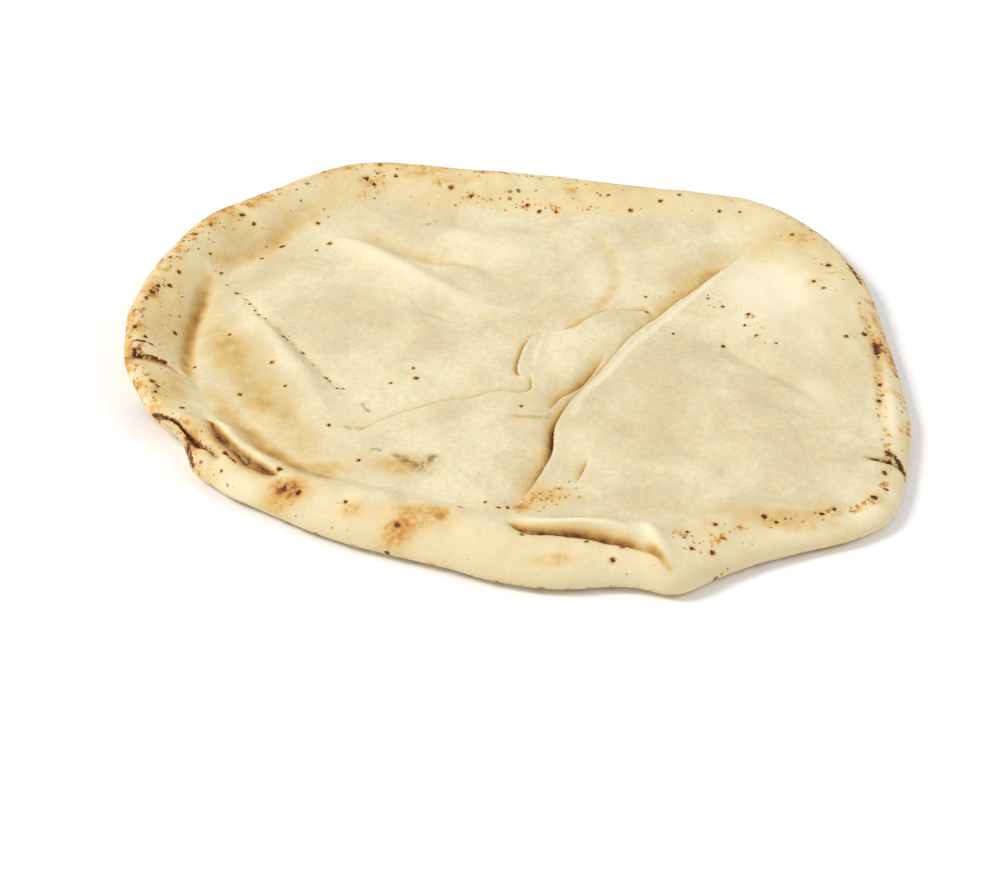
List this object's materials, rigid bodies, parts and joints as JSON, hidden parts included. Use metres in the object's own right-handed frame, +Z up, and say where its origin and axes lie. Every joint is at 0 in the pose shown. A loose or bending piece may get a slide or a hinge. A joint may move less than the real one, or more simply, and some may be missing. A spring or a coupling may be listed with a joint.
{
  "type": "pita bread",
  "caption": "Large thin pocket flatbread with a sunken, creased face inside a puffy toasted rim and a flat toasted underside.",
  "frame": {"origin": "centre of the bounding box's base, on the surface the bread rests on", "axes": "+X along the longest width, +Y across the bread towards its thick smooth rim, away from the tucked front rim, +Z up out of the sunken face"},
  "size_m": [0.2503, 0.2265, 0.015],
  "materials": {
    "crust": "matt baked crust, cream with brown freckles and toasted patches; leather stands in for bread"
  },
  "bodies": {
    "root": {"pita_bread": "crust"}
  },
  "joints": []
}
